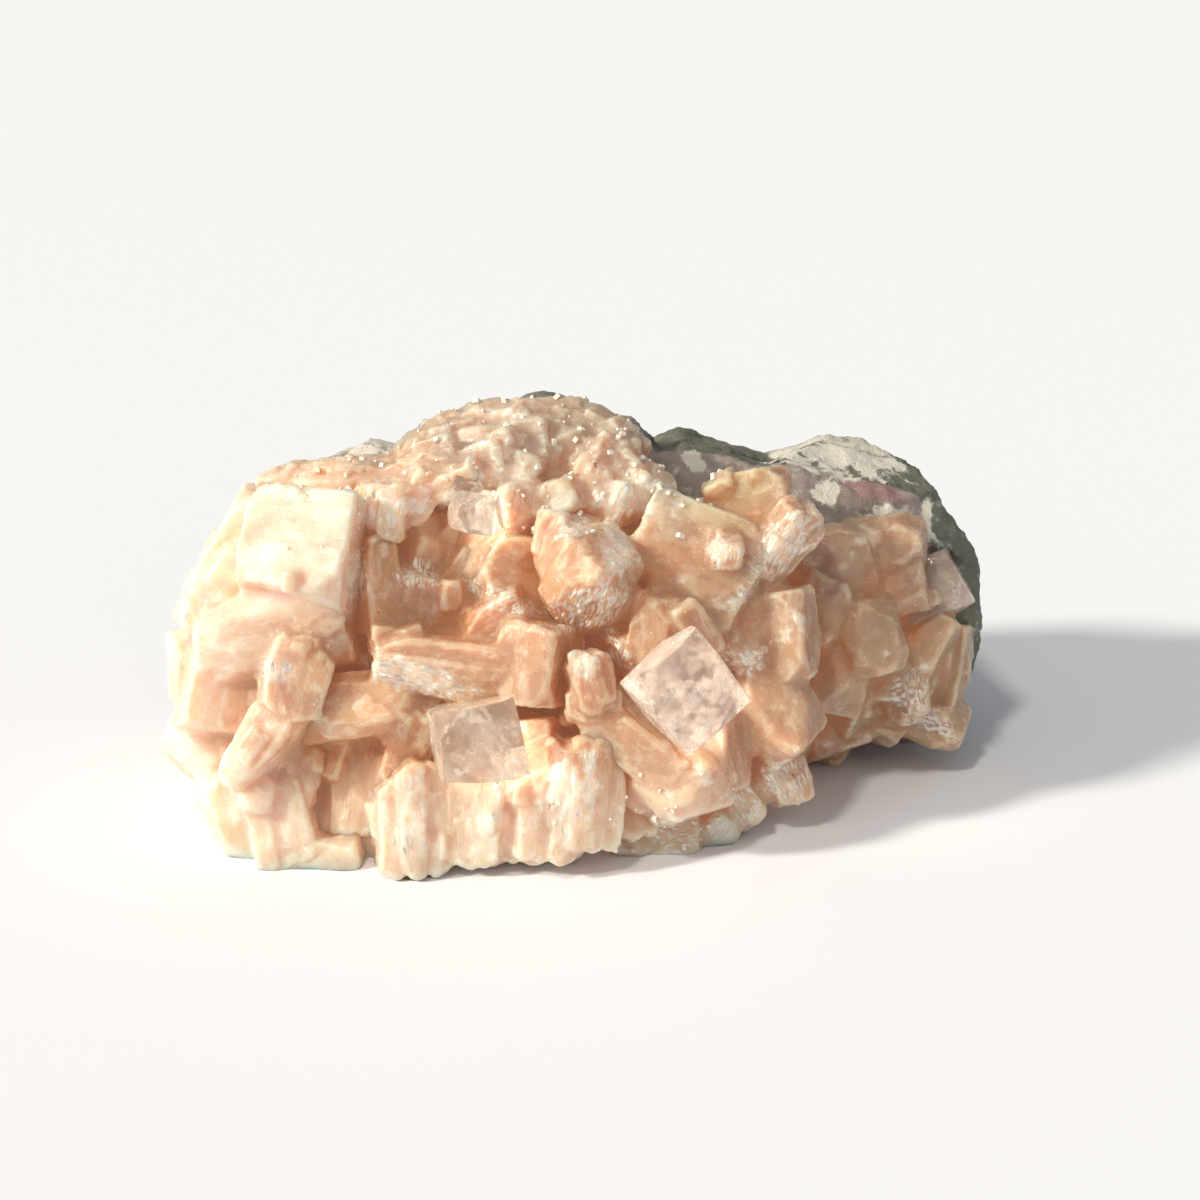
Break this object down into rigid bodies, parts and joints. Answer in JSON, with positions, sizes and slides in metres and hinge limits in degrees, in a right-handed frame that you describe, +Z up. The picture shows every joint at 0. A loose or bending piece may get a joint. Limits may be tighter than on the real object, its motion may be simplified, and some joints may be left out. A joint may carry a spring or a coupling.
{
  "type": "zeolite cluster",
  "caption": "Mineral specimen: blocky and sheaf-shaped peach stilbite crystals with clear blocks among them, on a pale rind over dark rock, cut flat to rest.",
  "frame": {"origin": "on the flat face that the cluster rests on, under the middle of its crystals", "axes": "+X along the cluster's length, to the right as its crystals are looked at; -Y the way the crystals face; +Y towards the rock behind them; +Z up"},
  "size_m": [0.128, 0.0817, 0.0613],
  "materials": {
    "stilbite": "peach, translucent, pearly on the flat faces and finely grooved along the crystals",
    "clear_crystal": "clear to milky, glassy, with veils inside",
    "rind": "dull, mottled white, lilac and grey",
    "basalt": "dull grey-green rock with pale specks"
  },
  "bodies": {
    "root": {"stilbite_crystals": "stilbite", "clear_crystal_front": "clear_crystal", "clear_crystal_left": "clear_crystal", "clear_crystals_top": "clear_crystal", "clear_crystal_right": "clear_crystal", "pale_rind": "rind", "basalt_matrix": "basalt"}
  },
  "joints": []
}
